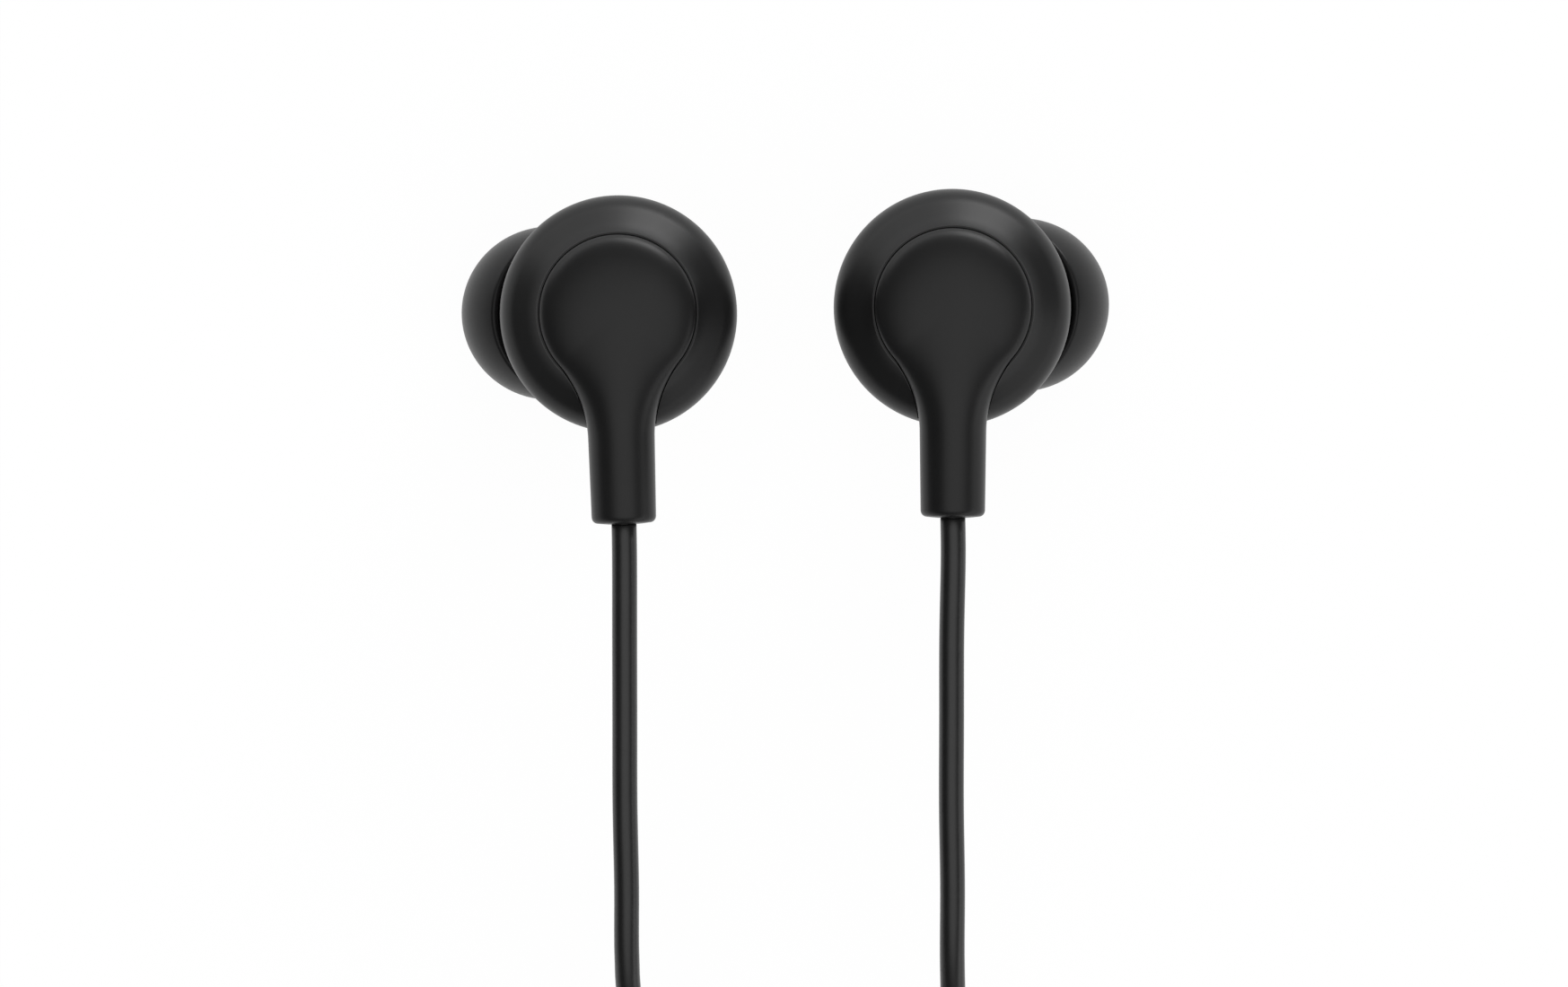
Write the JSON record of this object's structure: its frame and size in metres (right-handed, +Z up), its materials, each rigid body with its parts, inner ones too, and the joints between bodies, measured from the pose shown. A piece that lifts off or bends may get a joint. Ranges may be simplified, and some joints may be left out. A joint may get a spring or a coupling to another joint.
{
  "type": "wired earphones",
  "caption": "Wired in-ear earphones: round flared housings with slim stems, angled nozzles and silicone ear tips, joined by a coiled cord with a Y-split and a straight stereo jack plug.",
  "frame": {"origin": "on the table, under the middle of the box round the two buds as they lie face up on their ear tips", "axes": "+X from the left bud to the right bud; +Y away from the cord, in the discs' plane; +Z up, square to the discs"},
  "size_m": [0.047, 0.1421, 0.0209],
  "materials": {
    "shell": "soft-touch matte",
    "cover": "soft-touch matte",
    "silicone": "smooth silicone, slightly dusty matte",
    "mesh": "woven steel, dark",
    "cap_metal": "stamped, satin",
    "frame_metal": "stamped, satin",
    "iron": "zinc plated",
    "magnet": "nickel plated",
    "film": "thin clear film",
    "copper": "enamelled copper",
    "paper": "thin porous paper",
    "board": "solder mask",
    "cord": "matte elastomer jacket",
    "tie": "matte strap",
    "split": "soft-touch matte",
    "relief": "matte elastomer",
    "plug_shell": "soft-touch matte",
    "insulator": "satin",
    "gold": "gold plated"
  },
  "bodies": {
    "earphones": {"left_front_shell": "shell", "left_nozzle_mesh": "mesh", "left_rear_shell": "shell", "left_back_cover": "cover", "left_driver_cap": "cap_metal", "left_surround": "film", "left_driver_frame": "frame_metal", "left_top_plate": "iron", "left_magnet": "magnet", "left_yoke": "iron", "left_damping_paper": "paper", "left_terminal_board": "board", "left_cord_end": "cord", "left_cord_stop": "frame_metal", "left_lead_wires": "copper", "right_front_shell": "shell", "right_nozzle_mesh": "mesh", "right_rear_shell": "shell", "right_back_cover": "cover", "right_driver_cap": "cap_metal", "right_surround": "film", "right_driver_frame": "frame_metal", "right_top_plate": "iron", "right_magnet": "magnet", "right_yoke": "iron", "right_damping_paper": "paper", "right_terminal_board": "board", "right_cord_end": "cord", "right_cord_stop": "frame_metal", "right_lead_wires": "copper", "left_lead": "cord", "right_lead": "cord", "lead_coil": "cord", "lead_tie": "tie", "left_lead_run": "cord", "right_lead_run": "cord", "y_split": "split", "main_lead": "cord", "main_coil": "cord", "main_tie": "tie", "plug_cord": "cord", "plug_relief": "relief", "plug_body": "plug_shell", "plug_sleeve": "gold", "plug_ring_insulator": "insulator", "plug_ring": "gold", "plug_tip_insulator": "insulator", "plug_tip": "gold"},
    "left_tip": {"left_ear_tip": "silicone"},
    "left_membrane": {"left_diaphragm": "film", "left_voice_coil": "copper"},
    "right_tip": {"right_ear_tip": "silicone"},
    "right_membrane": {"right_diaphragm": "film", "right_voice_coil": "copper"}
  },
  "joints": [
    {"name": "left_tip_pull", "type": "slide", "parent": "earphones", "child": "left_tip", "axis": [-0.5008, 0.0204, -0.8653], "range_m": [0, 0.006]},
    {"name": "left_membrane_stroke", "type": "slide", "parent": "earphones", "child": "left_membrane", "axis": [0, 0, 1], "range_m": [-0.0002, 0.0002], "stiffness_N_per_m": 20, "deforming": ["left_surround"]},
    {"name": "right_tip_pull", "type": "slide", "parent": "earphones", "child": "right_tip", "axis": [0.5, 0.0348, -0.8653], "range_m": [0, 0.006]},
    {"name": "right_membrane_stroke", "type": "slide", "parent": "earphones", "child": "right_membrane", "axis": [0, 0, 1], "range_m": [-0.0002, 0.0002], "stiffness_N_per_m": 20, "deforming": ["right_surround"]}
  ]
}
